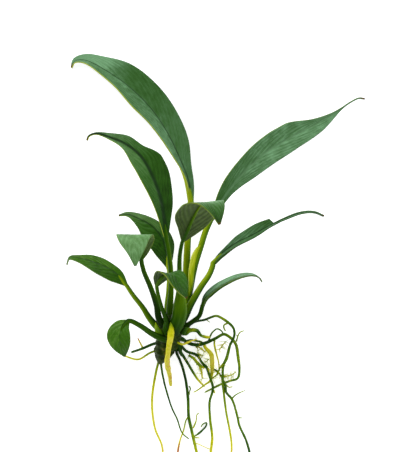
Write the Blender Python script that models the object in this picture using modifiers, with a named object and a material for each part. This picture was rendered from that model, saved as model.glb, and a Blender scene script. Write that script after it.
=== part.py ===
"""A small anubias, picked with its roots and lying on a surface.

The plant lies along Y, its leaves towards +Y and its roots towards -Y, and +Z is up.
Routes are in millimetres, measured from the crown, where the leaves and the roots meet,
with heights above the surface that the plant lies on. The holder empty moves the plant so
that the middle of its underside is the origin.
"""
import math

import bmesh
import bpy
from mathutils import Vector

MM = 0.001

# Leaf blades
BLADE_THICKNESS = 0.45
BLADE_COLUMNS = 6
BLADE_ROW_LENGTH = 2.8
BLADE_FEWEST_ROWS = 11

# Stalks and roots are round tubes; a point every few millimetres keeps them smooth
STALK_STEP = 2.6
ROOT_STEP = 2.1
TUBE_RESOLUTION = 2
ROOT_POINT_SHARE = 0.45
TUBE_FEWEST_STEPS = 3
CURVE_PARTS = 10
SHORTEST_SPAN = 1e-9

# The rhizome
RHIZOME_STEP = 1.1
RHIZOME_SIDES = 12
SCAR_HEIGHT = 0.28
SCAR_SPACING = 2.3

# Each leaf: the middle line of its blade and of its stalk, from the plant outwards, and
#   left, right  how far each half reaches from the middle line, at even steps from the
#           stalk to the tip, for someone looking to the tip with the upper face up
#   face    where the upper face looks, at the stalk
#   rolls   turn of the blade about its middle line from stalk to tip, in degrees, and
#           positive raises the side that is on the right for someone looking to the tip
#   fold    how far each half rises from flat, in degrees
#   stalk_r the stalk's radius at the crown and at the blade
LEAVES = {
    "upper_left": {
        "blade": [(5.6, 32.6, 4.9), (5.0, 38.0, 4.9), (2.8, 43.8, 4.7), (-0.8, 51.3, 4.2), (-5.2, 57.8, 4.0),
                  (-11.0, 63.6, 3.9), (-17.5, 68.2, 3.6), (-23.0, 71.0, 2.7), (-26.0, 70.8, 1.6),
                  (-27.0, 69.0, 0.6)],
        "stalk": [(3.2, 2.7, 3.8), (4.1, 8.5, 3.4), (4.5, 16.5, 4.1), (4.8, 22.5, 4.6), (5.4, 28.5, 4.8),
                  (5.5, 32.2, 4.9)],
        "left": (0.3, 1.0, 3.1, 4.8, 6.0, 3.9, 1.8, 0.3),
        "right": (0.8, 1.9, 4.4, 5.4, 5.8, 5.3, 2.6, 0.3),
        "face": (0, 0, 1), "rolls": (-25, -32, -34, -32, -20), "fold": 21, "stalk_r": (1.0, 0.8),
    },
    "upper_right": {
        "blade": [(12.0, 29.5, 6.0), (15.5, 35.0, 5.8), (20.0, 40.5, 5.2), (26.0, 46.0, 4.5),
                  (32.0, 49.6, 4.0), (38.0, 52.8, 3.0), (44.0, 56.2, 2.0), (49.0, 59.6, 1.2),
                  (51.5, 60.8, 0.8), (53.0, 60.6, 0.6)],
        "stalk": [(4.0, 1.8, 5.4), (5.4, 8.5, 6.0), (6.7, 15.0, 6.4), (8.2, 20.0, 6.4), (9.8, 25.0, 6.2),
                  (11.7, 29.0, 6.1)],
        "left": (0.8, 2.6, 3.3, 3.8, 4.0, 1.5, 0.25, 0.2),
        "right": (0.7, 1.5, 3.2, 3.9, 3.5, 2.6, 0.4, 0.2),
        "face": (0, 0, 1), "rolls": (-8, -6, 0, 6, 0), "fold": 9, "stalk_r": (1.1, 0.85),
    },
    "second_left": {
        "blade": [(-1.0, 23.0, 12.7), (-1.5, 28.0, 13.3), (-2.5, 33.5, 13.7), (-4.5, 39.0, 13.7),
                  (-7.5, 44.3, 13.2), (-11.5, 47.8, 12.3), (-16.0, 49.8, 11.0), (-20.0, 50.9, 10.0),
                  (-22.0, 50.2, 9.4), (-22.5, 49.0, 9.0)],
        "stalk": [(0.0, 3.9, 7.6), (0.3, 9.0, 8.8), (0.2, 14.5, 10.6), (-0.4, 19.4, 12.0),
                  (-1.0, 22.7, 12.6)],
        "left": (0.6, 1.8, 2.9, 3.5, 3.3, 1.4, 0.5, 0.2),
        "right": (0.6, 1.6, 2.8, 3.7, 4.6, 4.7, 2.5, 2.3, 1.3, 0.4, 0.2),
        "face": (0, 0, 1), "rolls": (-6, -8, -4, 4, 10), "fold": 14, "stalk_r": (0.8, 0.6),
    },
    "third_left": {
        "blade": [(-0.5, 14.6, 6.6), (-0.9, 18.5, 7.4), (-2.0, 22.4, 8.0), (-4.6, 25.7, 8.0),
                  (-8.2, 27.8, 7.4), (-11.6, 29.1, 6.4), (-14.0, 28.8, 5.4)],
        "stalk": [(-0.8, 3.7, 5.0), (-0.4, 8.0, 5.5), (-0.3, 14.2, 6.5)],
        "left": (0.5, 2.7, 4.0, 4.8, 4.3, 2.2, 0.8, 0.2),
        "right": (0.5, 1.8, 3.0, 2.9, 2.2, 1.6, 0.8, 0.2),
        "face": (0, 0, 1), "rolls": (14, 18, 18, 14, 0), "fold": 16, "stalk_r": (0.8, 0.6),
    },
    "center_folded": {
        "blade": [(3.6, 22.1, 19.2), (5.0, 25.3, 22.0), (6.6, 29.0, 25.4), (8.4, 31.8, 28.8),
                  (10.2, 32.2, 31.6), (11.9, 30.0, 33.4), (13.4, 26.3, 34.0)],
        "stalk": [(2.4, 1.4, 10.6), (2.8, 6.0, 11.8), (2.6, 12.0, 13.9), (2.7, 18.0, 16.7),
                  (3.4, 21.7, 18.9)],
        "left": (0.6, 2.8, 4.8, 5.9, 6.0, 5.0, 3.2, 0.3),
        "right": (0.6, 2.6, 4.6, 5.1, 4.8, 3.2, 1.5, 0.3),
        "face": (0, 0.6, -0.8), "rolls": (0, -4, -16, -30, -36), "fold": 3,
        "stalk_r": (1.4, 0.7, 0.5, 0.45),
    },
    "left_folded": {
        "blade": [(-7.6, 17.0, 16.8), (-7.4, 19.6, 18.4), (-8.0, 22.2, 20.8), (-9.2, 23.7, 23.6),
                  (-9.6, 23.0, 26.2), (-9.3, 19.5, 28.2), (-9.0, 15.3, 28.4)],
        "stalk": [(-2.9, 0.7, 8.9), (-3.6, 4.5, 10.4), (-5.2, 9.4, 12.9), (-7.0, 13.8, 15.2),
                  (-7.6, 16.6, 16.5)],
        "left": (0.5, 2.4, 4.3, 4.9, 4.2, 2.4, 0.3),
        "right": (0.5, 2.9, 4.8, 4.9, 3.8, 1.9, 0.3),
        "face": (0, 0.6, -0.8), "rolls": (0, 4, 12, 16, 12), "fold": 4, "stalk_r": (1.0, 0.6),
    },
    "low_left": {
        "blade": [(-11.9, 10.0, 8.2), (-14.3, 12.9, 8.0), (-17.4, 14.9, 7.2), (-21.0, 16.3, 6.0),
                  (-24.5, 17.2, 4.4), (-27.4, 17.4, 2.4), (-28.3, 15.4, 0.7)],
        "stalk": [(-3.5, -1.4, 5.6), (-5.6, 1.0, 6.4), (-7.5, 4.0, 7.2), (-10.0, 7.2, 7.9),
                  (-11.6, 9.6, 8.2)],
        "left": (0.5, 2.4, 2.9, 2.8, 2.1, 1.3, 0.8, 0.3),
        "right": (0.5, 1.4, 1.6, 1.8, 1.6, 0.9, 0.4, 0.3),
        "face": (0, 0, 1), "rolls": (8, 6, 0, -6, -10), "fold": 12, "stalk_r": (0.8, 0.5),
    },
    "center_small": {
        "blade": [(-3.5, 10.0, 16.0), (-2.6, 11.8, 17.8), (-1.0, 13.3, 19.8), (0.8, 13.0, 21.6),
                  (2.6, 10.5, 22.6), (4.6, 6.7, 22.2)],
        "stalk": [(-1.0, 0.7, 10.6), (-2.2, 4.0, 12.6), (-3.2, 7.8, 14.8), (-3.5, 9.7, 15.8)],
        "left": (0.5, 2.2, 3.1, 3.1, 2.2, 0.3),
        "right": (0.5, 2.1, 2.8, 2.8, 2.0, 0.3),
        "face": (0, 0.6, -0.8), "rolls": (0, -10, -35, -50, -50), "fold": 10, "stalk_r": (0.9, 0.55, 0.5),
    },
    "right_torn": {
        "blade": [(11.6, 15.8, 6.6), (14.0, 18.5, 6.8), (18.0, 21.4, 6.5), (22.3, 23.5, 5.7),
                  (26.5, 25.8, 4.6), (31.0, 27.9, 3.5), (35.5, 29.5, 2.3), (39.2, 29.7, 1.2),
                  (41.9, 28.7, 0.7)],
        "stalk": [(3.8, 0.9, 8.6), (5.6, 4.7, 8.5), (8.3, 9.4, 7.9), (10.6, 12.8, 7.2), (11.6, 15.4, 6.7)],
        "left": (0.5, 0.8, 1.8, 2.3, 0.5, 0.4, 0.3, 0.2),
        "right": (0.5, 1.8, 2.4, 1.8, 0.6, 0.5, 0.3, 0.2),
        "face": (0, 0, 1), "rolls": (40, 40, 38, 20, 10), "fold": 34, "stalk_r": (1.0, 0.65),
    },
    "right_low": {
        "blade": [(8.7, 4.2, 6.9), (9.5, 6.4, 7.0), (12.0, 8.8, 7.1), (15.2, 10.7, 6.7), (19.0, 12.2, 5.6),
                  (22.4, 12.6, 4.0), (24.2, 11.9, 3.0), (25.0, 10.8, 2.2)],
        "stalk": [(4.3, -1.1, 6.2), (6.3, 0.2, 6.6), (7.9, 1.6, 6.8), (8.6, 3.7, 6.9)],
        "left": (0.5, 1.5, 1.9, 1.9, 1.8, 1.3, 0.2),
        "right": (0.5, 1.5, 1.9, 1.9, 1.8, 1.3, 0.2),
        "face": (0, 0, 1), "rolls": (60, 68, 70, 68, 60), "fold": 12, "stalk_r": (0.8, 0.55),
    },
    "low_left_small": {
        "blade": [(-11.2, 0.4, 12.6), (-12.7, -1.2, 13.0), (-13.5, -3.6, 13.0), (-13.2, -6.6, 12.2),
                  (-12.2, -9.4, 10.4)],
        "stalk": [(-2.5, -4.3, 9.2), (-5.2, -2.9, 11.0), (-7.6, -1.2, 11.9), (-10.4, 0.3, 12.4)],
        "left": (0.5, 2.2, 3.0, 2.9, 1.9, 0.2),
        "right": (0.5, 2.5, 3.5, 2.9, 1.6, 0.2),
        "face": (0, 0.3, 1), "rolls": (0, 0, 0, 0, 0), "fold": 10, "stalk_r": (0.9, 0.6),
    },
}

# The sheath is a pale strip along the stalk of the upper right leaf
SHEATH_ROUTE = [(5.6, 8.8, 8.2), (5.8, 14.0, 8.0), (6.6, 18.0, 8.0), (7.7, 20.4, 8.0)]
SHEATH_RADII = (0.7, 0.5)

RHIZOME_ROUTE = [(0.7, 2.4, 6.9), (0.4, -1.0, 6.5), (-0.6, -5.0, 5.0), (-2.0, -8.8, 3.5), (-2.9, -11.6, 2.9)]
RHIZOME_RADII = (1.6, 3.2, 3.0, 2.8, 1.5)

# Each root: its route from the plant outwards, and its radius at the start and near the tip
ROOTS = {
    "pale_thick": ([(0.4, -1.4, 10.8), (0.1, -4.5, 11.5), (-0.5, -8.0, 10.2), (-0.8, -11.0, 8.0),
                    (-0.4, -13.4, 5.8), (0.0, -15.6, 3.4), (0.1, -17.8, 1.4)], 0.8, 0.5),
    "arch": ([(4.3, -2.0, 4.4), (6.2, -0.3, 4.3), (9.5, 0.5, 4.5), (12.6, 1.5, 4.8), (15.1, 0.2, 4.9),
              (17.1, -1.7, 4.8), (17.4, -3.8, 4.7), (16.2, -6.6, 4.1), (15.4, -9.8, 3.2), (14.4, -12.2, 2.7),
              (14.3, -16.4, 2.4)], 0.42, 0.36),
    "arch_fork_left": ([(14.3, -17.1, 2.2), (14.6, -20.0, 1.4), (15.2, -24.8, 0.6), (16.2, -30.0, 0.5),
                        (16.7, -34.0, 0.5), (16.2, -39.4, 0.5)], 0.34, 0.3),
    "arch_fork_right": ([(15.0, -17.5, 2.2), (15.2, -19.3, 1.6), (16.8, -21.3, 1.2), (18.3, -26.2, 0.7),
                         (18.8, -28.5, 0.6), (20.6, -32.4, 0.5), (21.6, -36.0, 0.5), (21.9, -38.6, 0.5)],
                        0.36, 0.32),
    "kinked": ([(3.1, -4.6, 4.4), (4.6, -5.7, 3.9), (7.1, -6.4, 3.4), (9.8, -5.8, 3.1), (12.2, -4.7, 3.0),
                (14.6, -3.5, 3.0), (16.2, -4.3, 3.0), (17.8, -6.2, 2.7), (18.4, -9.4, 2.1),
                (18.8, -13.6, 1.5), (18.3, -15.6, 1.1), (16.2, -16.3, 0.8), (13.4, -17.4, 0.6),
                (11.0, -18.6, 0.5), (9.2, -19.5, 0.5)], 0.6, 0.4),
    "brown": ([(4.2, -3.2, 6.4), (5.6, -2.3, 6.2), (7.3, -2.5, 5.9), (8.6, -3.9, 5.4), (11.0, -4.3, 4.9)],
              0.5, 0.32),
    "pale_short": ([(2.2, -5.7, 7.4), (3.6, -6.1, 7.0), (5.2, -5.4, 6.4), (7.4, -4.7, 5.4)], 0.34, 0.3),
    "middle_long": ([(2.7, -6.3, 4.3), (4.4, -8.1, 3.6), (7.2, -9.2, 2.8), (8.6, -11.2, 2.3),
                     (9.8, -12.6, 2.1), (10.8, -15.2, 1.9), (11.6, -18.4, 1.6), (10.7, -22.0, 0.8),
                     (10.8, -26.5, 0.5), (11.4, -31.8, 0.5), (11.0, -36.0, 0.5), (11.1, -41.0, 0.5)],
                    0.4, 0.32),
    "inner_short": ([(2.1, -7.2, 2.5), (3.8, -9.9, 1.9), (5.6, -12.9, 1.3), (7.4, -15.8, 0.7),
                     (9.4, -18.0, 0.4)], 0.42, 0.3),
    "inner_long": ([(1.7, -8.4, 3.6), (2.8, -11.0, 2.9), (4.1, -15.6, 1.8), (4.8, -21.0, 0.8),
                    (5.0, -26.0, 0.5), (6.0, -30.8, 0.5), (7.6, -37.6, 0.5)], 0.42, 0.38),
    "inner_branch": ([(4.2, -27.2, 0.5), (3.6, -29.8, 0.4), (2.6, -32.6, 0.4), (1.9, -36.4, 0.4)], 0.26, 0.3),
    "lower_green": ([(-2.4, -12.7, 2.2), (-1.6, -17.0, 0.9), (0.3, -23.4, 0.4), (1.8, -26.6, 0.5),
                     (3.2, -30.4, 1.2), (5.2, -32.2, 1.3)], 0.34, 0.24),
    "lower_pale": ([(-3.6, -12.6, 2.0), (-5.0, -21.5, 0.5), (-4.2, -29.2, 0.4), (-2.4, -33.6, 0.4),
                    (-1.9, -37.0, 0.4)], 0.34, 0.26),
    "left_thin": ([(-5.4, -8.5, 3.4), (-8.8, -10.4, 1.5), (-13.0, -9.3, 0.4)], 0.28, 0.22),
    "left_dark": ([(-4.4, -6.0, 5.2), (-7.6, -7.4, 3.6), (-10.8, -8.5, 1.8)], 0.42, 0.3),
    "yellow": ([(9.5, -7.1, 1.9), (11.2, -9.0, 0.9), (11.9, -12.5, 0.4), (10.9, -16.3, 0.4),
                (9.3, -17.0, 1.2), (7.6, -18.5, 0.7), (6.2, -19.4, 0.4)], 0.4, 0.3),
    "yellow_thin": ([(12.0, -6.2, 2.6), (12.6, -9.0, 2.2), (13.2, -11.5, 1.6), (13.2, -14.2, 0.9)],
                    0.26, 0.2),
}

FINISHES = {
    "leaf_blade": ((0.055, 0.16, 0.05), 0.38),
    "leaf_blade_pale": ((0.12, 0.30, 0.07), 0.34),
    "leaf_stalk": ((0.16, 0.33, 0.03), 0.42),
    "sheath": ((0.50, 0.55, 0.03), 0.5),
    "rhizome": ((0.035, 0.07, 0.015), 0.6),
    "root_green": ((0.07, 0.20, 0.02), 0.5),
    "root_pale": ((0.60, 0.58, 0.06), 0.5),
}
PALE_LEAVES = ("low_left", "low_left_small")
PALE_ROOTS = ("pale_thick", "pale_short", "lower_pale", "left_thin", "yellow", "yellow_thin", "brown")


def clear_scene():
    for old in list(bpy.data.objects):
        bpy.data.objects.remove(old, do_unlink=True)


def make_material(name):
    color, roughness = FINISHES[name]
    material = bpy.data.materials.new(name)
    material.use_nodes = True
    shader = material.node_tree.nodes["Principled BSDF"]
    shader.inputs["Base Color"].default_value = (*color, 1.0)
    shader.inputs["Roughness"].default_value = roughness
    shader.inputs["Metallic"].default_value = 0.0
    material.diffuse_color = (*color, 1.0)
    return material


def curve_point(before, start, end, after, share):
    """A point between start and end on a centripetal Catmull-Rom curve through all four."""
    k1 = max((start - before).length, SHORTEST_SPAN) ** 0.5
    k2 = k1 + max((end - start).length, SHORTEST_SPAN) ** 0.5
    k3 = k2 + max((after - end).length, SHORTEST_SPAN) ** 0.5
    k = k1 + (k2 - k1) * share
    first = before.lerp(start, k / k1)
    middle = start.lerp(end, (k - k1) / (k2 - k1))
    last = end.lerp(after, (k - k2) / (k3 - k2))
    left = first.lerp(middle, k / k2)
    right = middle.lerp(last, (k - k1) / (k3 - k1))
    return left.lerp(right, (k - k1) / (k2 - k1))


def smooth_path(route, step, fewest=2):
    """Evenly spaced points, in metres, on a smooth curve through a route in millimetres."""
    points = [Vector(p) for p in route]
    ends = [points[0] * 2 - points[1], *points, points[-1] * 2 - points[-2]]
    fine = []
    for i in range(1, len(ends) - 2):
        for j in range(CURVE_PARTS):
            fine.append(curve_point(ends[i - 1], ends[i], ends[i + 1], ends[i + 2], j / CURVE_PARTS))
    fine.append(points[-1])
    along = [0.0]
    for a, b in zip(fine, fine[1:]):
        along.append(along[-1] + (b - a).length)
    count = max(fewest, round(along[-1] / step))
    path = []
    k = 0
    for i in range(count + 1):
        goal = along[-1] * i / count
        while k < len(fine) - 2 and along[k + 1] < goal:
            k += 1
        share = (goal - along[k]) / (along[k + 1] - along[k])
        path.append(fine[k].lerp(fine[k + 1], share) * MM)
    return path


def tangent_at(path, i):
    return (path[min(i + 1, len(path) - 1)] - path[max(i - 1, 0)]).normalized()


def carried_frames(path, face):
    """At each point: the way along, the way to the right and the way out of the upper face."""
    along = tangent_at(path, 0)
    out = Vector(face)
    out = (out - along * out.dot(along)).normalized()
    frames = []
    for i in range(len(path)):
        new = tangent_at(path, i)
        out = along.rotation_difference(new) @ out
        out = (out - new * out.dot(new)).normalized()
        along = new
        frames.append((along, along.cross(out), out))
    return frames


def between(values, share):
    """A value part of the way along a list of evenly spaced ones."""
    place = share * (len(values) - 1)
    low = min(int(place), len(values) - 2)
    return values[low] + (values[low + 1] - values[low]) * (place - low)


def make_blade(leaf):
    path = smooth_path(leaf["blade"], BLADE_ROW_LENGTH, BLADE_FEWEST_ROWS)
    frames = carried_frames(path, leaf["face"])
    rows = len(path) - 1
    grid = bmesh.new()
    bmesh.ops.create_grid(grid, x_segments=BLADE_COLUMNS, y_segments=rows, size=1.0)
    fold = math.radians(leaf["fold"])
    for vert in grid.verts:
        across = vert.co.x
        row = round((vert.co.y + 1) / 2 * rows)
        u = row / rows
        along, right, out = frames[row]
        roll = math.radians(between(leaf["rolls"], u))
        side = right * math.cos(roll) + out * math.sin(roll)
        up = out * math.cos(roll) - right * math.sin(roll)
        reach = between(leaf["right" if across > 0 else "left"], u) * MM
        vert.co = (path[row] + side * (across * reach * math.cos(fold))
                   + up * (abs(across) * reach * math.sin(fold)) - path[0])
    mesh = bpy.data.meshes.new("blade")
    bmesh.ops.recalc_face_normals(grid, faces=grid.faces)
    middle = min(grid.faces, key=lambda f: (f.calc_center_median()).length)
    if middle.normal.dot(Vector(leaf["face"])) < 0:
        bmesh.ops.reverse_faces(grid, faces=grid.faces)
    grid.to_mesh(mesh)
    grid.free()
    blade = bpy.data.objects.new("blade", mesh)
    blade.location = path[0]
    wall = blade.modifiers.new("thickness", "SOLIDIFY")
    wall.thickness = BLADE_THICKNESS * MM
    wall.offset = -1.0
    mesh.shade_smooth()
    return blade


def make_tube(route, step, radii, point_share=1.0):
    """A round tube along a route, with a radius for the start and one for the end."""
    path = smooth_path(route, step, TUBE_FEWEST_STEPS)
    curve = bpy.data.curves.new("tube", "CURVE")
    curve.dimensions = "3D"
    curve.bevel_depth = MM
    curve.bevel_resolution = TUBE_RESOLUTION
    curve.use_fill_caps = True
    spline = curve.splines.new("POLY")
    spline.points.add(len(path) - 1)
    for i, point in enumerate(path):
        spline.points[i].co = (*(point - path[0]), 1.0)
        spline.points[i].radius = between(radii, i / (len(path) - 1))
    spline.points[-1].radius *= point_share
    tube = bpy.data.objects.new("tube", curve)
    tube.location = path[0]
    return tube


def make_rhizome():
    """A knobbly stem: rings of a cylinder set along the route, with ridges for the leaf scars."""
    path = smooth_path(RHIZOME_ROUTE, RHIZOME_STEP)
    frames = carried_frames(path, (0, 0, 1))
    rows = len(path) - 1
    body = bmesh.new()
    bmesh.ops.create_cone(body, cap_ends=True, segments=RHIZOME_SIDES, radius1=1.0, radius2=1.0, depth=2.0)
    sides = [edge for edge in body.edges if abs(edge.verts[0].co.z - edge.verts[1].co.z) > 1]
    bmesh.ops.subdivide_edges(body, edges=sides, cuts=rows - 1, use_grid_fill=True)
    for vert in body.verts:
        row = round((vert.co.z + 1) / 2 * rows)
        along, right, out = frames[row]
        length = row * RHIZOME_STEP
        angle = math.atan2(vert.co.y, vert.co.x)
        lump = math.sin(2 * math.pi * length / SCAR_SPACING + angle) * SCAR_HEIGHT
        lump *= math.sin(math.pi * row / rows)
        reach = between(RHIZOME_RADII, row / rows) + lump
        vert.co = path[row] + (right * math.cos(angle) + out * math.sin(angle)) * reach * MM - path[0]
    bmesh.ops.recalc_face_normals(body, faces=body.faces)
    mesh = bpy.data.meshes.new("rhizome")
    body.to_mesh(mesh)
    body.free()
    mesh.shade_smooth()
    rhizome = bpy.data.objects.new("rhizome", mesh)
    rhizome.location = path[0]
    return rhizome


def add_piece(piece, name, finish, holder, collection, materials):
    piece.name = name
    piece.data.name = name
    piece.data.materials.append(materials[finish])
    piece.parent = holder
    collection.objects.link(piece)


def rest_on_origin(holder, pieces):
    """Moves the plant so that the middle of its underside is the origin."""
    bpy.context.view_layer.update()
    graph = bpy.context.evaluated_depsgraph_get()
    low = Vector((math.inf,) * 3)
    high = Vector((-math.inf,) * 3)
    for piece in pieces:
        shown = piece.evaluated_get(graph)
        mesh = shown.to_mesh()
        for vert in mesh.vertices:
            place = shown.matrix_world @ vert.co
            low = Vector(map(min, low, place))
            high = Vector(map(max, high, place))
        shown.to_mesh_clear()
    holder.location = (-(low.x + high.x) / 2, -(low.y + high.y) / 2, -low.z)
    bpy.context.view_layer.update()


def main():
    clear_scene()
    collection = bpy.data.collections.new("anubias")
    bpy.context.scene.collection.children.link(collection)
    holder = bpy.data.objects.new("crown", None)
    holder.empty_display_size = 5 * MM
    collection.objects.link(holder)
    materials = {name: make_material(name) for name in FINISHES}

    for name, leaf in LEAVES.items():
        finish = "leaf_blade_pale" if name in PALE_LEAVES else "leaf_blade"
        add_piece(make_blade(leaf), "leaf_" + name, finish, holder, collection, materials)
        stalk = make_tube(leaf["stalk"], STALK_STEP, leaf["stalk_r"])
        add_piece(stalk, "stalk_" + name, "leaf_stalk", holder, collection, materials)
    sheath = make_tube(SHEATH_ROUTE, STALK_STEP, SHEATH_RADII)
    add_piece(sheath, "sheath", "sheath", holder, collection, materials)
    add_piece(make_rhizome(), "rhizome", "rhizome", holder, collection, materials)
    for name, (route, start, end) in ROOTS.items():
        finish = "root_pale" if name in PALE_ROOTS else "root_green"
        root = make_tube(route, ROOT_STEP, (start, end), ROOT_POINT_SHARE)
        add_piece(root, "root_" + name, finish, holder, collection, materials)

    rest_on_origin(holder, [piece for piece in collection.objects if piece.type != "EMPTY"])


main()
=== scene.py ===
import math
import random

import bmesh
import bpy
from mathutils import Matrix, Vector, noise


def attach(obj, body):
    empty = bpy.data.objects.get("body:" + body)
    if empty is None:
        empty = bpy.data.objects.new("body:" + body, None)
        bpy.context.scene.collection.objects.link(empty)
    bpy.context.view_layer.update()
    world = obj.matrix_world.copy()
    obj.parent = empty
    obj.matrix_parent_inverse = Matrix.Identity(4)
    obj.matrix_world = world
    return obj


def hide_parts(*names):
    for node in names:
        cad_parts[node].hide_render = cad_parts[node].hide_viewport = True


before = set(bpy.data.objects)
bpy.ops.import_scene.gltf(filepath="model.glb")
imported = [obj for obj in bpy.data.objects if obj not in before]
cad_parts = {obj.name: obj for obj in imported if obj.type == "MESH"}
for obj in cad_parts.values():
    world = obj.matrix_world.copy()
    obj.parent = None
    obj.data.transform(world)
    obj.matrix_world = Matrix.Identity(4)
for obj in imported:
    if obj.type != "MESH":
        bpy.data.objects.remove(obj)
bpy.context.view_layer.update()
scene = bpy.context.scene
print("frame loaded")

mm = 0.001
crown = Vector((-0.01231, -0.01591, 0.00005))  # where leaves and roots meet, on the surface below

# The camera looks straight down, with the leaves at the top of the picture
camera = {"lookAt": (10.26, 25.92), "height": 1010.0, "lens": 295.0}
cameraData = bpy.data.cameras.new("camera")
cameraData.lens = camera["lens"]
cameraData.sensor_width = 36.0
cameraData.clip_end = 20.0
cameraObject = bpy.data.objects.new("camera", cameraData)
cameraObject.location = crown + Vector((*camera["lookAt"], camera["height"])) * mm
scene.collection.objects.link(cameraObject)
scene.camera = cameraObject


def linearColor(hexText):
    parts = [int(hexText[i:i + 2], 16) / 255 for i in (1, 3, 5)]
    return (*[p / 12.92 if p <= 0.04045 else ((p + 0.055) / 1.055) ** 2.4 for p in parts], 1.0)


def addNode(tree, kind, settings=None, inputs=None, stops=None):
    node = tree.nodes.new("ShaderNode" + kind)
    for key, value in (settings or {}).items():
        setattr(node, key, value)
    for key, value in (inputs or {}).items():
        if isinstance(value, bpy.types.NodeSocket):
            tree.links.new(value, node.inputs[key])
        else:
            node.inputs[key].default_value = value
    if stops:
        marks = node.color_ramp.elements
        for mark, (place, color) in ((marks[0], stops[0]), (marks[1], stops[-1])):
            mark.position = place
            mark.color = linearColor(color)
        for place, color in stops[1:-1]:
            marks.new(place).color = linearColor(color)
    return node


def newMaterial(name):
    material = bpy.data.materials.new(name)
    material.use_nodes = True
    return material, material.node_tree, material.node_tree.nodes["Principled BSDF"]


# The upper face of a living leaf: a waxy cuticle over green tissue. Its colour runs from dark green to a painted
# bluish sheen, set per half along the leaf, with shallow ripples between the veins, painted shade in a sunken midrib
# or a paler midrib, and a yellow rim.
leafLook = {
    # painted sheen: the light bluish end of this ramp stands for the sheen where the leaf reflects the light
    "green": [(0.0, "#152C0A"), (0.25, "#265011"), (0.5, "#38642C"), (0.75, "#4C7648"), (1.0, "#76A678")],
    "freshGreen": [(0.0, "#1C4402"), (0.5, "#3E7010"), (1.0, "#7CA848")],
    "ribGrooveShade": "#1A3614", "lightRib": "#5A8058", "rim": "#98AE28", "tip": "#6E4A1E",
    "veinDepth": 0.00010,
}
upper, tree, shader = newMaterial("waxyLeafUpper")
read = {}
for key in ("toneAndSheen", "fresh", "vein", "fromRib", "fromEdge", "ribTone", "rimTone", "along", "gloss"):
    read[key] = addNode(tree, "Attribute", {"attribute_name": key}).outputs["Fac"]
turns = addNode(tree, "Math", {"operation": "MULTIPLY"}, {0: read["vein"], 1: 2 * math.pi}).outputs[0]
wave = addNode(tree, "Math", {"operation": "SINE"}, {0: turns}).outputs[0]
streakPlace = addNode(tree, "CombineXYZ", None, {"X": turns, "Y": read["fromRib"], "Z": read["along"]})
streaks = addNode(tree, "TexNoise", None, {"Vector": streakPlace.outputs[0], "Scale": 0.9, "Detail": 5.0,
                                            "Roughness": 0.6}).outputs["Fac"]
place = addNode(tree, "TexCoord").outputs["Object"]
mottle = addNode(tree, "TexNoise", None, {"Vector": place, "Scale": 420.0, "Detail": 4.0}).outputs["Fac"]
toneShift = addNode(tree, "MapRange", None, {"Value": mottle, "From Min": 0.3, "From Max": 0.7,
                                              "To Min": -0.09, "To Max": 0.09}).outputs[0]
waveShift = addNode(tree, "MapRange", None, {"Value": wave, "From Min": -1.0, "From Max": 1.0,
                                              "To Min": -0.04, "To Max": 0.03}).outputs[0]
streakShift = addNode(tree, "MapRange", None, {"Value": streaks, "From Min": 0.3, "From Max": 0.7,
                                                "To Min": -0.12, "To Max": 0.12}).outputs[0]
# painted sheen: toneAndSheen sets how far each spot moves from dark green towards the bluish sheen
shade = addNode(tree, "Math", {"operation": "ADD"}, {0: read["toneAndSheen"], 1: toneShift}).outputs[0]
shade = addNode(tree, "Math", {"operation": "ADD"}, {0: shade, 1: waveShift}).outputs[0]
shade = addNode(tree, "Math", {"operation": "ADD"}, {0: shade, 1: streakShift}).outputs[0]
green = addNode(tree, "ValToRGB", None, {"Fac": shade}, leafLook["green"]).outputs[0]
freshGreen = addNode(tree, "ValToRGB", None, {"Fac": shade}, leafLook["freshGreen"]).outputs[0]
color = addNode(tree, "Mix", {"data_type": "RGBA"}, {0: read["fresh"], 6: green, 7: freshGreen}).outputs[2]
ribMask = addNode(tree, "MapRange", None, {"Value": read["fromRib"], "From Min": 0.3, "From Max": 1.0,
                                            "To Min": 1.0, "To Max": 0.0}).outputs[0]
# painted shade: a negative ribTone darkens the sunken midrib groove, and a positive one gives a paler midrib
ribGrooveShade = addNode(tree, "MapRange", None, {"Value": read["ribTone"], "From Min": 0.0, "From Max": -1.0,
                                            "To Min": 0.0, "To Max": 1.0}).outputs[0]
lightRib = addNode(tree, "Math", {"operation": "MULTIPLY", "use_clamp": True},
                   {0: read["ribTone"], 1: ribMask}).outputs[0]
ribGrooveShade = addNode(tree, "Math", {"operation": "MULTIPLY"}, {0: ribGrooveShade, 1: ribMask}).outputs[0]
color = addNode(tree, "Mix", {"data_type": "RGBA"},
                {0: ribGrooveShade, 6: color, 7: linearColor(leafLook["ribGrooveShade"])}).outputs[2]
color = addNode(tree, "Mix", {"data_type": "RGBA"},
                {0: lightRib, 6: color, 7: linearColor(leafLook["lightRib"])}).outputs[2]
rimMask = addNode(tree, "MapRange", None, {"Value": read["fromEdge"], "From Min": 0.03, "From Max": 0.16,
                                            "To Min": 1.0, "To Max": 0.0}).outputs[0]
rimMask = addNode(tree, "Math", {"operation": "MULTIPLY"}, {0: rimMask, 1: read["rimTone"]}).outputs[0]
color = addNode(tree, "Mix", {"data_type": "RGBA"},
                {0: rimMask, 6: color, 7: linearColor(leafLook["rim"])}).outputs[2]
tipMask = addNode(tree, "MapRange", None, {"Value": read["along"], "From Min": 0.972, "From Max": 0.992}).outputs[0]
color = addNode(tree, "Mix", {"data_type": "RGBA"},
                {0: tipMask, 6: color, 7: linearColor(leafLook["tip"])}).outputs[2]
tree.links.new(color, shader.inputs["Base Color"])
dull = addNode(tree, "MapRange", None, {"Value": read["gloss"], "To Min": 0.50, "To Max": 0.22}).outputs[0]
dull = addNode(tree, "Math", {"operation": "MULTIPLY_ADD"}, {0: mottle, 1: 0.12, 2: dull}).outputs[0]
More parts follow.
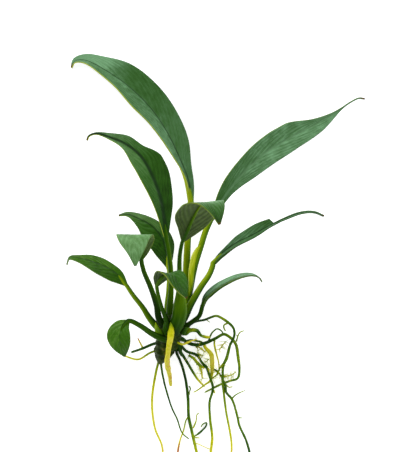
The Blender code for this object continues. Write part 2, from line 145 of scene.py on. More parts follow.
tree.links.new(dull, shader.inputs["Roughness"])
shader.inputs["IOR"].default_value = 1.45
shader.inputs["Specular IOR Level"].default_value = 0.15
height = addNode(tree, "Math", {"operation": "MULTIPLY_ADD"}, {0: streaks, 1: 0.8, 2: wave}).outputs[0]
height = addNode(tree, "Math", {"operation": "MULTIPLY_ADD"}, {0: ribMask, 1: -1.2, 2: height}).outputs[0]
height = addNode(tree, "Math", {"operation": "MULTIPLY_ADD"}, {0: mottle, 1: 0.8, 2: height}).outputs[0]
bump = addNode(tree, "Bump", None, {"Height": height, "Strength": 0.55, "Distance": leafLook["veinDepth"]})
tree.links.new(bump.outputs[0], shader.inputs["Normal"])

# The lower face of a leaf: duller and more olive, with darker veins and no wax
underLook = {"green": [(0.0, "#1A2A04"), (0.45, "#3E5218"), (0.8, "#566C34"), (1.0, "#768C52")],
             "freshGreen": [(0.0, "#2A4A06"), (0.5, "#4E7A1C"), (1.0, "#84A848")], "rim": "#8EA23C"}
under, tree, shader = newMaterial("dullLeafUnderside")
for key in ("vein", "fresh", "fromRib", "fromEdge", "underTone"):
    read[key] = addNode(tree, "Attribute", {"attribute_name": key}).outputs["Fac"]
turns = addNode(tree, "Math", {"operation": "MULTIPLY"}, {0: read["vein"], 1: 2 * math.pi}).outputs[0]
wave = addNode(tree, "Math", {"operation": "SINE"}, {0: turns}).outputs[0]
place = addNode(tree, "TexCoord").outputs["Object"]
mottle = addNode(tree, "TexNoise", None, {"Vector": place, "Scale": 700.0, "Detail": 5.0}).outputs["Fac"]
shade = addNode(tree, "Math", {"operation": "MULTIPLY_ADD"}, {0: wave, 1: 0.12, 2: read["underTone"]}).outputs[0]
mottle = addNode(tree, "MapRange", None, {"Value": mottle, "From Min": 0.3, "From Max": 0.7,
                                           "To Min": -0.14, "To Max": 0.14}).outputs[0]
shade = addNode(tree, "Math", {"operation": "ADD"}, {0: shade, 1: mottle}).outputs[0]
green = addNode(tree, "ValToRGB", None, {"Fac": shade}, underLook["green"]).outputs[0]
freshGreen = addNode(tree, "ValToRGB", None, {"Fac": shade}, underLook["freshGreen"]).outputs[0]
color = addNode(tree, "Mix", {"data_type": "RGBA"}, {0: read["fresh"], 6: green, 7: freshGreen}).outputs[2]
rimMask = addNode(tree, "MapRange", None, {"Value": read["fromEdge"], "From Min": 0.03, "From Max": 0.18,
                                            "To Min": 0.8, "To Max": 0.0}).outputs[0]
color = addNode(tree, "Mix", {"data_type": "RGBA"},
                {0: rimMask, 6: color, 7: linearColor(underLook["rim"])}).outputs[2]
tree.links.new(color, shader.inputs["Base Color"])
shader.inputs["Roughness"].default_value = 0.55
shader.inputs["Specular IOR Level"].default_value = 0.25
bump = addNode(tree, "Bump", {"invert": True}, {"Height": wave, "Strength": 0.5, "Distance": 0.00008})
tree.links.new(bump.outputs[0], shader.inputs["Normal"])

# The cut edge of a leaf: thin tissue that the light comes through
rim, tree, shader = newMaterial("thinLeafEdge")
place = addNode(tree, "TexCoord").outputs["Object"]
mottle = addNode(tree, "TexNoise", None, {"Vector": place, "Scale": 500.0}).outputs["Fac"]
rimTone = addNode(tree, "Attribute", {"attribute_name": "rimTone"}).outputs["Fac"]
shade = addNode(tree, "MapRange", None, {"Value": mottle, "From Min": 0.3, "From Max": 0.7,
                                          "To Min": -0.12, "To Max": 0.12}).outputs[0]
shade = addNode(tree, "Math", {"operation": "ADD"}, {0: rimTone, 1: shade}).outputs[0]
color = addNode(tree, "ValToRGB", None, {"Fac": shade}, [
    (0.0, "#2C5010"), (0.5, "#6A8424"), (1.0, "#B2BE40")]).outputs[0]
tree.links.new(color, shader.inputs["Base Color"])
shader.inputs["Roughness"].default_value = 0.45
shader.inputs["Specular IOR Level"].default_value = 0.25

# The skin of a stalk: smooth and faintly ribbed, dark green where old and yellow where it is pale, and yellower on one
# side and darker on the other by painted light
stalkSkin, tree, shader = newMaterial("ribbedStalkSkin")
tint = addNode(tree, "Attribute", {"attribute_name": "tint"}).outputs["Fac"]
wrap = addNode(tree, "UVMap", {"uv_map": "UVMap"}).outputs[0]
stretch = addNode(tree, "Mapping", None, {"Vector": wrap, "Scale": (16.0, 5.0, 1.0)}).outputs[0]
streaks = addNode(tree, "TexNoise", None, {"Vector": stretch, "Scale": 1.0, "Detail": 4.0}).outputs["Fac"]
streakShift = addNode(tree, "MapRange", None, {"Value": streaks, "From Min": 0.3, "From Max": 0.7,
                                                "To Min": -0.10, "To Max": 0.10}).outputs[0]
shade = addNode(tree, "Math", {"operation": "ADD"}, {0: tint, 1: streakShift}).outputs[0]
color = addNode(tree, "ValToRGB", None, {"Fac": shade}, [
    (0.0, "#142C02"), (0.2, "#285002"), (0.42, "#4A7003"), (0.62, "#6E8E05"), (0.82, "#AABA12"),
    (1.0, "#DEE05A")]).outputs[0]
tree.links.new(color, shader.inputs["Base Color"])
shader.inputs["Roughness"].default_value = 0.38
shader.inputs["Specular IOR Level"].default_value = 0.05
bump = addNode(tree, "Bump", None, {"Height": streaks, "Strength": 0.4, "Distance": 0.00008})
tree.links.new(bump.outputs[0], shader.inputs["Normal"])

# The skin of a root: soft, slightly lumpy and velvety, dark green, yellow or brown by its age
rootSkin, tree, shader = newMaterial("softRootSkin")
tint = addNode(tree, "Attribute", {"attribute_name": "tint"}).outputs["Fac"]
place = addNode(tree, "TexCoord").outputs["Object"]
lumps = addNode(tree, "TexNoise", None, {"Vector": place, "Scale": 1100.0, "Detail": 4.0}).outputs["Fac"]
lumpShift = addNode(tree, "MapRange", None, {"Value": lumps, "From Min": 0.3, "From Max": 0.7,
                                              "To Min": -0.08, "To Max": 0.08}).outputs[0]
shade = addNode(tree, "Math", {"operation": "ADD"}, {0: tint, 1: lumpShift}).outputs[0]
color = addNode(tree, "ValToRGB", None, {"Fac": shade}, [
    (0.0, "#0E2A04"), (0.2, "#244E06"), (0.4, "#547A06"), (0.58, "#8CA208"), (0.74, "#CCCA0C"),
    (0.88, "#E2D850"), (1.0, "#BA742E")]).outputs[0]
tree.links.new(color, shader.inputs["Base Color"])
shader.inputs["Roughness"].default_value = 0.48
shader.inputs["Specular IOR Level"].default_value = 0.08
bump = addNode(tree, "Bump", None, {"Height": lumps, "Strength": 0.5, "Distance": 0.00010})
tree.links.new(bump.outputs[0], shader.inputs["Normal"])

# The skin of the rhizome: dark, wet and rough, with brown scars
rhizomeSkin, tree, shader = newMaterial("roughRhizomeSkin")
place = addNode(tree, "TexCoord").outputs["Object"]
patches = addNode(tree, "TexNoise", None, {"Vector": place, "Scale": 380.0, "Detail": 6.0,
                                            "Roughness": 0.65}).outputs["Fac"]
color = addNode(tree, "ValToRGB", None, {"Fac": patches}, [
    (0.34, "#121E02"), (0.48, "#223404"), (0.58, "#3A4C06"), (0.68, "#6A560E")]).outputs[0]
tree.links.new(color, shader.inputs["Base Color"])
shader.inputs["Roughness"].default_value = 0.42
shader.inputs["Specular IOR Level"].default_value = 0.08
bump = addNode(tree, "Bump", None, {"Height": patches, "Strength": 0.8, "Distance": 0.00035})
tree.links.new(bump.outputs[0], shader.inputs["Normal"])
print("materials made")


def catmullPoint(before, start, end, after, share):
    k1 = max((start - before).length, 1e-9) ** 0.5
    k2 = k1 + max((end - start).length, 1e-9) ** 0.5
    k3 = k2 + max((after - end).length, 1e-9) ** 0.5
    k = k1 + (k2 - k1) * share
    first = before.lerp(start, k / k1)
    middle = start.lerp(end, (k - k1) / (k2 - k1))
    last = end.lerp(after, (k - k2) / (k3 - k2))
    return first.lerp(middle, k / k2).lerp(middle.lerp(last, (k - k1) / (k3 - k1)), (k - k1) / (k2 - k1))


def smoothPath(route, step):
    # evenly spaced points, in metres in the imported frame, on a smooth curve through a route in mm
    points = [Vector(p) for p in route]
    ends = [points[0] * 2 - points[1], *points, points[-1] * 2 - points[-2]]
    fine = [catmullPoint(*ends[i - 1:i + 3], j / 16) for i in range(1, len(ends) - 2) for j in range(16)]
    fine.append(points[-1])
    along = [0.0]
    for a, b in zip(fine, fine[1:]):
        along.append(along[-1] + (b - a).length)
    count = max(3, round(along[-1] / step))
    path = []
    k = 0
    for i in range(count + 1):
        goal = along[-1] * i / count
        while k < len(fine) - 2 and along[k + 1] < goal:
            k += 1
        share = (goal - along[k]) / (along[k + 1] - along[k])
        path.append(crown + fine[k].lerp(fine[k + 1], share) * mm)
    return path


def carriedFrames(path, face):
    # at each point: the way along, the way to the right and the way out of the upper face
    along = (path[1] - path[0]).normalized()
    out = Vector(face)
    out = (out - along * out.dot(along)).normalized()
    frames = []
    for i in range(len(path)):
        new = (path[min(i + 1, len(path) - 1)] - path[max(i - 1, 0)]).normalized()
        out = along.rotation_difference(new) @ out
        out = (out - new * out.dot(new)).normalized()
        along = new
        frames.append((along, along.cross(out), out))
    return frames


def between(values, share):
    # a smooth value part of the way along a list of evenly spaced ones, never past its neighbours
    place = min(max(share, 0.0), 1.0) * (len(values) - 1)
    i = min(int(place), len(values) - 2)
    t = place - i
    a, b = values[i], values[i + 1]
    slopeA = (b - values[i - 1]) / 2 if i > 0 else b - a
    slopeB = (values[i + 2] - a) / 2 if i + 2 < len(values) else b - a
    value = (2 * t**3 - 3 * t**2 + 1) * a + (t**3 - 2 * t**2 + t) * slopeA
    value += (3 * t**2 - 2 * t**3) * b + (t**3 - t**2) * slopeB
    spare = abs(b - a) * 0.15
    return min(max(value, min(a, b) - spare), max(a, b) + spare)


def finishPiece(name, shape, materials, node):
    mesh = bpy.data.meshes.new(name)
    shape.to_mesh(mesh)
    shape.free()
    mesh.shade_smooth()
    for material in materials:
        mesh.materials.append(material)
    piece = bpy.data.objects.new(name, mesh)
    scene.collection.objects.link(piece)
    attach(piece, "root")
    if node:
        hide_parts(node)
    return piece


def addTube(shape, path, radii, tints, sides, paintedLitSide=0.0, flat=1.0, roundTip=True, lumpy=0.0, seed=0):
    # a closed tube along a path, as a grid rolled round it, with radii and tints at even steps
    frames = carriedFrames(path, (0, 0, 1) if abs((path[1] - path[0]).normalized().z) < 0.95 else (0, 1, 0))
    rows = len(path) - 1
    tint = shape.verts.layers.float.get("tint") or shape.verts.layers.float.new("tint")
    if not shape.loops.layers.uv:
        shape.loops.layers.uv.new("UVMap")
    length = sum((b - a).length for a, b in zip(path, path[1:]))
    grid = bmesh.ops.create_grid(shape, x_segments=sides, y_segments=rows, size=1.0, calc_uvs=True)["verts"]
    for vert in grid:
        row = round((vert.co.y + 1) / 2 * rows)
        share = row / rows
        turn = (vert.co.x + 1) * math.pi
        along, right, out = frames[row]
        radius = between(radii, share) * mm
        if roundTip:
            left = (1 - share) * length
            cap = max(radius * 2.2, 1e-6)
            if left < cap:
                radius *= math.sqrt(max(0.0, 1 - (1 - left / cap) ** 2))
        if lumpy:
            spot = path[row] / mm * 0.9 + Vector((math.cos(turn), math.sin(turn), seed)) * 0.5
            radius *= 1 + lumpy * noise.noise(spot)
        # painted light: paintedLitSide makes one side of the tube lighter and the opposite side darker
        vert[tint] = between(tints, share) + paintedLitSide * math.cos(turn - math.radians(150))
        vert.co = path[row] + (right * math.cos(turn) + out * math.sin(turn) * flat) * radius
    bmesh.ops.remove_doubles(shape, verts=grid, dist=1e-7)


def closeTubes(shape):
    openEdges = [edge for edge in shape.edges if edge.is_boundary]
    bmesh.ops.holes_fill(shape, edges=openEdges, sides=0)
    bmesh.ops.recalc_face_normals(shape, faces=shape.faces)


bladeMesh = {"columns": 24, "rowLength": 0.6, "wall": 0.3}  # mm


def makeLeaf(name, node, leaf):
    path = smoothPath(leaf["blade"], bladeMesh["rowLength"])
    frames = carriedFrames(path, leaf["face"])
    rows = len(path) - 1
    sheet = bmesh.new()
    sheet.loops.layers.uv.new("UVMap")
    keys = ("toneAndSheen", "fresh", "vein", "fromRib", "fromEdge", "ribTone", "rimTone", "along", "gloss", "underTone")
    layer = {key: sheet.verts.layers.float.new(key) for key in keys}
    bmesh.ops.create_grid(sheet, x_segments=bladeMesh["columns"], y_segments=rows, size=1.0, calc_uvs=True)
    fold = math.radians(leaf["fold"])
    crease = math.sqrt(1 + 0.01) - 0.1
    for vert in sheet.verts:
        across = vert.co.x
        row = round((vert.co.y + 1) / 2 * rows)
        share = row / rows
        along, right, out = frames[row]
        roll = math.radians(between(leaf["rolls"], share))
        side = right * math.cos(roll) + out * math.sin(roll)
        up = out * math.cos(roll) - right * math.sin(roll)
        half = "right" if across > 0 else "left"
        reach = between(leaf[half], share) * mm
        torn = half == "left" and share > leaf.get("tear", 2.0)
        if torn:
            reach = between(leaf["strip"], (share - leaf["tear"]) / (1 - leaf["tear"])) * mm
        rise = (math.sqrt(across**2 + 0.01) - 0.1) / crease
        veins = leaf["veins"] * (share - leaf["veinLean"] * abs(across) ** 1.3)
        lift = rise * reach * math.sin(fold) + leaf.get("cup", 0.0) * across**2 * reach
        middle = math.sin(math.pi * min(abs(across) * 1.05, 1.0))
        lift += leaf.get("ripple", 0.0) * mm * middle * math.sin(2 * math.pi * veins) * min(1.0, reach / (2.5 * mm))
        vert.co = path[row] + side * (across * reach * math.cos(fold)) + up * lift
        # painted sheen: each half gets its own tone along the leaf, lighter and bluer where the leaf shows a sheen
        vert[layer["toneAndSheen"]] = between(leaf["tonesAndSheen"][half], share)
        vert[layer["fresh"]] = leaf.get("fresh", 0.0)
        vert[layer["vein"]] = veins
        vert[layer["fromRib"]] = abs(across) * reach / mm / (leaf["ribWidth"] * (1 - 0.6 * share))
        vert[layer["fromEdge"]] = (1 - abs(across)) * reach / mm
        vert[layer["ribTone"]] = leaf["ribTone"]
        vert[layer["rimTone"]] = leaf["rims"][half]
        vert[layer["along"]] = share if leaf.get("brownTip", True) else 0.0
        vert[layer["gloss"]] = leaf.get("gloss", 0.3)
        vert[layer["underTone"]] = between(leaf.get("underTones", (0.45, 0.45)), share)
    bmesh.ops.recalc_face_normals(sheet, faces=sheet.faces)
    nearest = min(sheet.faces, key=lambda face: (face.calc_center_median() - path[2]).length)
    if nearest.normal.dot(frames[2][2]) < 0:
        bmesh.ops.reverse_faces(sheet, faces=sheet.faces)
    piece = finishPiece(name, sheet, (upper, under, rim), node)
    wall = piece.modifiers.new("wall", "SOLIDIFY")
    wall.thickness = bladeMesh["wall"] * mm
    wall.offset = -1.0
    wall.material_offset = 1
    wall.material_offset_rim = 2
    return path, frames


def makeStalk(name, node, leaf, blade):
    # the stalk runs on under the blade as its midrib
    path, frames = blade
    points = smoothPath([*leaf["heel"], *leaf["stalk"], leaf["blade"][0]], 0.6)
    keelRows = int(len(path) * leaf.get("keel", 0.9))
    radii = [between(leaf["stalkRadii"], i / (len(points) - 1)) for i in range(len(points))]
    last = radii[-1]
    for row in range(1, keelRows):
        share = row / keelRows
        radius = last * (1 - share) ** 0.9 * 0.9 + 0.08
        roll = math.radians(between(leaf["rolls"], row / (len(path) - 1)))
        up = frames[row][2] * math.cos(roll) - frames[row][1] * math.sin(roll)
        sink = min(1.0, row / 7) * (radius + 0.12)
        points.append(path[row] - up * sink * mm)
        radii.append(radius)
    shape = bmesh.new()
    addTube(shape, points, radii, leaf["stalkTints"], 20, leaf["paintedLitSide"])
    closeTubes(shape)
    return finishPiece(name, shape, (stalkSkin,), node)


upperLeft = {
    "blade": [(5.6, 32.6, 4.9), (5.0, 38.0, 4.9), (2.8, 43.8, 4.7), (-0.8, 51.3, 4.2), (-5.2, 57.8, 4.0),
              (-11.0, 63.6, 3.9), (-17.5, 68.2, 3.6), (-23.0, 71.0, 2.7), (-26.0, 70.8, 1.6),
              (-27.0, 69.0, 0.6)],
    "heel": [(1.4, -0.8, 4.6)],
    "stalk": [(3.2, 2.7, 3.8), (4.1, 8.5, 3.4), (4.5, 16.5, 4.1), (4.8, 22.5, 4.6), (5.4, 28.5, 4.8),
              (5.5, 32.2, 4.9)],
    "left": (0.3, 1.0, 3.1, 4.8, 6.0, 3.9, 1.8, 0.3),
    "right": (0.8, 1.9, 4.4, 5.4, 5.8, 5.3, 2.6, 0.3),
    "face": (0, 0, 1), "rolls": (-25, -32, -34, -32, -20), "fold": 21,
    "veins": 15, "veinLean": 0.34, "ripple": 0.10, "ribWidth": 0.4, "ribTone": -0.8, "gloss": 0.35,
    "tonesAndSheen": {"left": (0.7, 0.82, 0.84, 0.8, 0.74, 0.78, 0.85, 0.95),
              "right": (0.85, 0.72, 0.64, 0.6, 0.54, 0.46, 0.5, 0.9, 1.2, 1.1)},
    "rims": {"left": 1.0, "right": 0.0},
    "stalkRadii": (1.0, 0.95, 0.85), "stalkTints": (0.1, 0.4, 0.6, 0.62, 0.6, 0.58, 0.56, 0.55, 0.5), "paintedLitSide": 0.2,
}
makeStalk("stalkUpperLeft", "stalk_upper_left", upperLeft, makeLeaf("leafUpperLeft", "leaf_upper_left", upperLeft))

upperRight = {
    "blade": [(12.0, 29.5, 6.0), (15.5, 35.0, 5.8), (20.0, 40.5, 5.2), (26.0, 46.0, 4.5),
              (32.0, 49.6, 4.0), (38.0, 52.8, 3.0), (44.0, 56.2, 2.0), (49.0, 59.6, 1.2),
              (51.5, 60.8, 0.8), (53.0, 60.6, 0.6)],
    "heel": [(1.8, -1.2, 5.6)],
    "stalk": [(4.0, 1.8, 5.4), (5.4, 8.5, 6.0), (6.7, 15.0, 6.4), (8.2, 20.0, 6.4), (9.8, 25.0, 6.2),
              (11.7, 29.0, 6.1)],
    "left": (0.8, 2.6, 3.3, 3.8, 4.0, 1.5, 0.25, 0.2),
    "right": (0.7, 1.5, 3.2, 3.9, 3.5, 2.6, 0.4, 0.2),
    "face": (0, 0, 1), "rolls": (-8, -6, 0, 6, 0), "fold": 9,
    "veins": 11, "veinLean": 0.42, "ripple": 0.05, "ribWidth": 0.5, "ribTone": 0.7, "gloss": 0.1,
    "tonesAndSheen": {"left": (0.35, 0.62, 0.78, 0.8, 0.84, 0.9), "right": (0.5, 0.7, 0.85, 0.85, 0.88, 0.95)},
    "rims": {"left": 0.6, "right": 0.0},
    "stalkRadii": (1.1, 0.85, 0.82, 0.85), "stalkTints": (0.05, 0.3, 0.45, 0.45, 0.42, 0.36, 0.35, 0.4), "paintedLitSide": 0.3,
}
makeStalk("stalkUpperRight", "stalk_upper_right", upperRight,
          makeLeaf("leafUpperRight", "leaf_upper_right", upperRight))

secondLeft = {
    "blade": [(-1.0, 23.0, 12.7), (-1.5, 28.0, 13.3), (-2.5, 33.5, 13.7), (-4.5, 39.0, 13.7),
              (-7.5, 44.3, 13.2), (-11.5, 47.8, 12.3), (-16.0, 49.8, 11.0), (-20.0, 50.9, 10.0),
              (-22.0, 50.2, 9.4), (-22.5, 49.0, 9.0)],
    "heel": [(0.3, -0.8, 6.6), (0.1, 1.6, 7.1)],
    "stalk": [(0.0, 3.9, 7.6), (0.3, 9.0, 8.8), (0.2, 14.5, 10.6), (-0.4, 19.4, 12.0),
              (-1.0, 22.7, 12.6)],
    "left": (0.6, 1.8, 2.9, 3.5, 3.3, 1.4, 0.5, 0.2),
    "right": (0.6, 1.6, 2.8, 3.7, 4.6, 4.7, 2.5, 2.3, 1.3, 0.4, 0.2),
    "face": (0, 0, 1), "rolls": (-6, -8, -4, 4, 10), "fold": 14,
    "veins": 12, "veinLean": 0.36, "ripple": 0.06, "ribWidth": 0.9, "ribTone": -1.0, "gloss": 0.55,
    "tonesAndSheen": {"left": (0.35, 0.4, 0.48, 0.6, 0.72, 0.9, 1.0), "right": (0.25, 0.2, 0.2, 0.28, 0.6, 0.8, 1.0)},
    "fresh": 0.25,
    "rims": {"left": 1.0, "right": 0.0},
    "stalkRadii": (1.3, 0.75, 0.65, 0.6), "stalkTints": (0.3, 0.4, 0.35, 0.3, 0.2, 0.2, 0.25, 0.3), "paintedLitSide": -0.14,
}
makeStalk("stalkSecondLeft", "stalk_second_left", secondLeft,
          makeLeaf("leafSecondLeft", "leaf_second_left", secondLeft))

thirdLeft = {
    "blade": [(-0.5, 14.6, 6.6), (-0.9, 18.5, 7.4), (-2.0, 22.4, 8.0), (-4.6, 25.7, 8.0),
              (-8.2, 27.8, 7.4), (-11.6, 29.1, 6.4), (-14.0, 28.8, 5.4)],
    "heel": [(0.2, -0.8, 5.2), (-0.4, 1.5, 5.0)],
    "stalk": [(-0.8, 3.7, 5.0), (-0.4, 8.0, 5.5), (-0.3, 14.2, 6.5)],
    "left": (0.5, 2.7, 4.0, 4.8, 4.3, 2.2, 0.8, 0.2),
    "right": (0.5, 1.8, 3.0, 2.9, 2.2, 1.6, 0.8, 0.2),
    "face": (0, 0, 1), "rolls": (14, 18, 18, 14, 0), "fold": 16,
    "veins": 9, "veinLean": 0.4, "ripple": 0.05, "ribWidth": 0.6, "ribTone": -0.7, "gloss": 0.8,
    "tonesAndSheen": {"left": (0.15, 0.15, 0.2, 0.4, 0.6, 0.9), "right": (0.15, 0.2, 0.5, 0.8, 0.85, 0.95)},
    "fresh": 0.5,
    "rims": {"left": 0.6, "right": 0.0},
    "stalkRadii": (0.9, 0.75, 0.6), "stalkTints": (0.2, 0.55, 0.6, 0.5, 0.3), "paintedLitSide": 0.1,
}
makeStalk("stalkThirdLeft", "stalk_third_left", thirdLeft, makeLeaf("leafThirdLeft", "leaf_third_left", thirdLeft))

centerFolded = {
    "blade": [(3.6, 22.1, 19.2), (5.0, 25.3, 22.0), (6.6, 29.0, 25.4), (8.4, 31.8, 28.8),
              (10.2, 32.2, 31.6), (11.9, 30.0, 33.4), (13.4, 26.3, 34.0)],
    "heel": [(0.9, -2.6, 8.2)],
    "stalk": [(2.4, 1.4, 10.6), (2.8, 6.0, 11.8), (2.6, 12.0, 13.9), (2.7, 18.0, 16.7),
              (3.4, 21.7, 18.9)],
    "left": (0.6, 2.8, 4.8, 5.9, 6.0, 5.0, 3.2, 0.3),
    "right": (0.6, 2.6, 4.6, 5.1, 4.8, 3.2, 1.5, 0.3),
    "face": (0, 0.6, -0.8), "rolls": (0, -4, -19, -31, -36), "fold": 1,
    "veins": 9, "veinLean": 0.4, "ripple": 0.03, "ribWidth": 0.5, "ribTone": -0.3, "gloss": 0.4, "underTones": (0.35, 0.42, 0.5, 0.6, 0.7),
    "tonesAndSheen": {"left": (0.5, 0.6, 0.8, 1.0, 0.95, 0.5, 0.15), "right": (0.5, 0.6, 0.8, 0.9, 0.8, 0.4, 0.1)},
    "fresh": 0.15,
    "rims": {"left": 0.3, "right": 0.5},
    "stalkRadii": (1.9, 2.0, 0.85, 0.6, 0.5), "stalkTints": (0.0, 0.25, 0.45, 0.4, 0.25, 0.2, 0.2, 0.4, 0.55, 0.6, 0.6), "paintedLitSide": -0.06,
}
makeStalk("stalkCenterFolded", "stalk_center_folded", centerFolded,
          makeLeaf("leafCenterFolded", "leaf_center_folded", centerFolded))

leftFolded = {
    "blade": [(-7.6, 17.0, 16.8), (-7.4, 19.6, 18.4), (-8.0, 22.2, 20.8), (-9.2, 23.7, 23.6),
              (-9.6, 23.0, 26.2), (-9.3, 19.5, 28.2), (-9.0, 15.3, 28.4)],
    "heel": [(-0.4, -2.8, 7.0)],
    "stalk": [(-2.9, 0.7, 8.9), (-3.6, 4.5, 10.4), (-5.2, 9.4, 12.9), (-7.0, 13.8, 15.2),
              (-7.6, 16.6, 16.5)],
    "left": (0.5, 2.4, 4.3, 4.9, 4.2, 2.4, 0.3),
    "right": (0.5, 2.9, 4.8, 4.9, 3.8, 1.9, 0.3),
    "face": (0, 0.6, -0.8), "rolls": (0, 6, 17, 21, 14), "fold": 0, "fresh": 0.3,
    "veins": 8, "veinLean": 0.35, "ripple": 0.03, "ribWidth": 0.3, "ribTone": 0.0, "gloss": 0.2, "underTones": (0.45, 0.55, 0.5),
    "tonesAndSheen": {"left": (0.5, 0.6, 0.7, 0.85, 0.85, 0.85), "right": (0.5, 0.6, 0.7, 0.85, 0.85, 0.8)},
    "rims": {"left": 0.2, "right": 0.5}, "brownTip": False,
    "stalkRadii": (1.1, 0.75, 0.6), "stalkTints": (0.0, 0.1, 0.28, 0.3, 0.25, 0.3, 0.4), "paintedLitSide": -0.18,
}
makeStalk("stalkLeftFolded", "stalk_left_folded", leftFolded,
          makeLeaf("leafLeftFolded", "leaf_left_folded", leftFolded))

lowLeft = {
    "blade": [(-11.9, 10.0, 8.2), (-14.3, 12.9, 8.0), (-17.4, 14.9, 7.2), (-21.0, 16.3, 6.0),
              (-24.5, 17.2, 4.4), (-27.4, 17.4, 2.4), (-28.3, 15.4, 0.7)],
    "heel": [(-0.6, -3.2, 5.2)],
    "stalk": [(-3.5, -1.4, 5.6), (-5.6, 1.0, 6.4), (-7.5, 4.0, 7.2), (-10.0, 7.2, 7.9),
              (-11.6, 9.6, 8.2)],
    "left": (0.5, 2.4, 2.9, 2.8, 2.1, 1.3, 0.8, 0.3),
    "right": (0.5, 1.4, 1.6, 1.8, 1.6, 0.9, 0.4, 0.3),
    "face": (0, 0, 1), "rolls": (8, 6, 0, -6, -10), "fold": 12,
    "veins": 8, "veinLean": 0.4, "ripple": 0.05, "ribWidth": 0.4, "ribTone": -0.5, "gloss": 0.9, "fresh": 0.95,
    "tonesAndSheen": {"left": (0.2, 0.22, 0.3, 0.45, 0.6), "right": (0.45, 0.5, 0.55, 0.6, 0.75)},
    "rims": {"left": 0.4, "right": 0.0},
    "stalkRadii": (1.2, 0.75, 0.55), "stalkTints": (0.0, 0.3, 0.4, 0.42, 0.45), "paintedLitSide": 0.26,
}
makeStalk("stalkLowLeft", "stalk_low_left", lowLeft,
          makeLeaf("leafLowLeft", "leaf_low_left", lowLeft))

centerSmall = {
    "blade": [(-3.5, 10.0, 16.0), (-2.6, 11.8, 17.8), (-1.0, 13.3, 19.8), (0.8, 13.0, 21.6),
              (2.6, 10.5, 22.6), (4.6, 6.7, 22.2)],
    "heel": [(-0.2, -2.4, 8.2)],
    "stalk": [(-1.0, 0.7, 10.6), (-2.2, 4.0, 12.6), (-3.2, 7.8, 14.8), (-3.5, 9.7, 15.8)],
    "left": (0.5, 2.2, 3.1, 3.1, 2.2, 0.3),
    "right": (0.5, 2.1, 2.8, 2.8, 2.0, 0.3),
    "face": (0, 0.6, -0.8), "rolls": (0, -12, -40, -52, -50), "fold": 10,
    "veins": 6, "veinLean": 0.4, "ripple": 0.04, "ribWidth": 0.4, "ribTone": -0.3, "gloss": 0.7, "underTones": (0.15, 0.2, 0.3),
    "tonesAndSheen": {"left": (0.3, 0.4, 0.55, 0.5, 0.35, 0.2), "right": (0.3, 0.3, 0.35, 0.3, 0.25, 0.15)},
    "fresh": 0.45,
    "rims": {"left": 0.0, "right": 0.6},
    "stalkRadii": (1.0, 0.55, 0.5), "stalkTints": (0.0, 0.15, 0.28, 0.25, 0.3), "paintedLitSide": 0.08,
}
makeStalk("stalkCenterSmall", "stalk_center_small", centerSmall,
          makeLeaf("leafCenterSmall", "leaf_center_small", centerSmall))

rightTorn = {
    "blade": [(11.6, 15.8, 6.6), (14.0, 18.5, 6.8), (18.0, 21.4, 6.5), (22.3, 23.5, 5.7),
              (26.5, 25.8, 4.6), (31.0, 27.9, 3.5), (35.5, 29.5, 2.3), (39.2, 29.7, 1.2),
              (41.9, 28.7, 0.7)],
    "heel": [(1.6, -2.2, 7.2)],
    "stalk": [(3.8, 0.9, 8.6), (5.6, 4.7, 8.5), (8.3, 9.4, 7.9), (10.6, 12.8, 7.2), (11.6, 15.4, 6.7)],
    "left": (0.5, 0.8, 1.8, 2.3, 1.7, 1.5, 1.2, 1.0),
    "right": (0.5, 1.8, 2.4, 1.8, 0.6, 0.5, 0.3, 0.2),
    "tear": 0.56, "strip": (0.2, 0.3, 0.35, 0.35, 0.3, 0.2),
    "face": (0, 0, 1), "rolls": (40, 37, 34, 20, 10), "fold": 33,
    "veins": 10, "veinLean": 0.3, "ripple": 0.03, "ribWidth": 0.35, "ribTone": -0.9, "gloss": 0.2,
    "tonesAndSheen": {"left": (0.7, 0.75, 0.75, 0.65, 0.5, 0.7, 0.95, 1.0), "right": (0.75, 0.7, 0.65, 0.7, 0.8, 0.9, 1.0, 1.0)},
    "rims": {"left": 0.2, "right": 0.0},
    "stalkRadii": (1.1, 0.9, 0.75), "stalkTints": (0.0, 0.2, 0.42, 0.35, 0.22, 0.2, 0.25, 0.3), "paintedLitSide": 0.36,
}
makeStalk("stalkRightTorn", "stalk_right_torn", rightTorn, makeLeaf("leafRightTorn", "leaf_right_torn", rightTorn))

rightLow = {
    "blade": [(8.7, 4.2, 6.9), (9.5, 6.4, 7.0), (12.0, 8.8, 7.1), (15.2, 10.7, 6.7), (19.0, 12.2, 5.6),
              (22.4, 12.6, 4.0), (24.2, 11.9, 3.0), (25.0, 10.8, 2.2)],
    "heel": [(1.6, -2.4, 5.8)],
    "stalk": [(4.3, -1.1, 6.2), (6.3, 0.2, 6.6), (7.9, 1.6, 6.8), (8.6, 3.7, 6.9)],
    "left": (0.5, 1.5, 1.9, 1.9, 1.8, 1.3, 0.2),
    "right": (0.5, 1.5, 1.9, 1.9, 1.8, 1.3, 0.2),
    "face": (0, 0, 1), "rolls": (60, 68, 70, 68, 60), "fold": 12,
    "veins": 7, "veinLean": 0.35, "ripple": 0.02, "ribWidth": 0.3, "ribTone": -0.5, "gloss": 0.5,
    "tonesAndSheen": {"left": (0.85, 1.0, 1.0, 0.95, 0.95, 0.8), "right": (0.5, 0.5, 0.5, 0.6, 0.7, 0.6)},
    "rims": {"left": 0.2, "right": 0.2},
    "stalkRadii": (0.8, 0.65, 0.6), "stalkTints": (0.0, 0.05, 0.2, 0.4, 0.45), "paintedLitSide": 0.14,
}
makeStalk("stalkRightLow", "stalk_right_low", rightLow, makeLeaf("leafRightLow", "leaf_right_low", rightLow))

